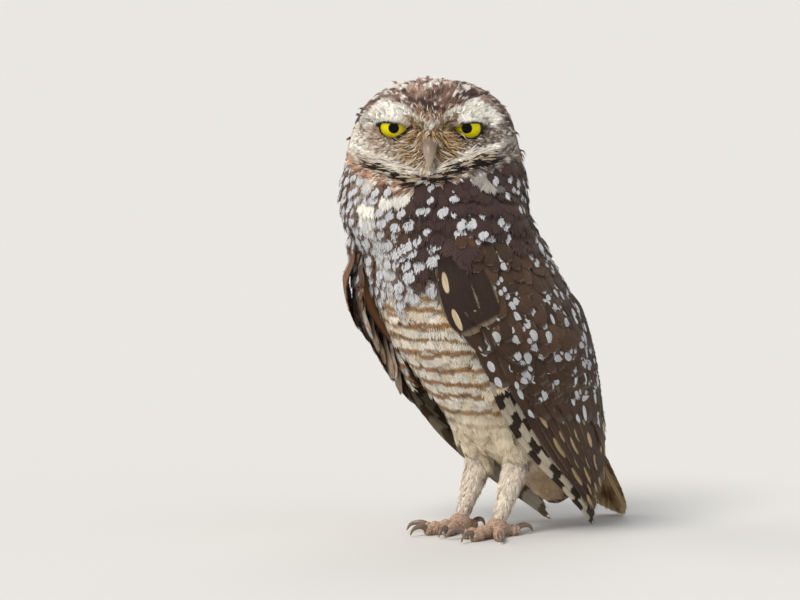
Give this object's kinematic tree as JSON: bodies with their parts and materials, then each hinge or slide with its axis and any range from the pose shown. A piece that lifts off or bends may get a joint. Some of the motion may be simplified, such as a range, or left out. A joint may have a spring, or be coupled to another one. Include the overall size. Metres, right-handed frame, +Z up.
{
  "type": "burrowing owl",
  "caption": "Life-size standing burrowing owl in still museum pose, head turned to its left, wings folded, tail tip resting on the ground.",
  "frame": {"origin": "centre of the ground that the bird covers, at the level of its soles", "axes": "+Z up, -Y the way the breast faces, +X the bird's left side"},
  "size_m": [0.1094, 0.1718, 0.219],
  "materials": {
    "head_plumage": "soft matt feathers",
    "breast_plumage": "soft matt feathers",
    "wing_plumage": "matt feather vanes",
    "tail_plumage": "matt feather vanes",
    "leg_plumage": "short soft feathers",
    "toe_skin": "scaly matt skin",
    "claw_horn": "satin horn",
    "bill_horn": "satin horn",
    "eye": "wet gloss"
  },
  "bodies": {
    "root": {"head": "head_plumage", "neck": "head_plumage", "bill_upper": "bill_horn", "bill_lower": "bill_horn", "eye_left": "eye", "eye_right": "eye", "torso": "breast_plumage", "tail": "tail_plumage", "wing_left": "wing_plumage", "thigh_left": "leg_plumage", "shank_left": "leg_plumage", "foot_left": "toe_skin", "toe_left_inner": "toe_skin", "claw_left_inner": "claw_horn", "toe_left_middle": "toe_skin", "claw_left_middle": "claw_horn", "toe_left_outer": "toe_skin", "claw_left_outer": "claw_horn", "toe_left_hind": "toe_skin", "claw_left_hind": "claw_horn", "wing_right": "wing_plumage", "thigh_right": "leg_plumage", "shank_right": "leg_plumage", "foot_right": "toe_skin", "toe_right_inner": "toe_skin", "claw_right_inner": "claw_horn", "toe_right_middle": "toe_skin", "claw_right_middle": "claw_horn", "toe_right_outer": "toe_skin", "claw_right_outer": "claw_horn", "toe_right_hind": "toe_skin", "claw_right_hind": "claw_horn"}
  },
  "joints": []
}
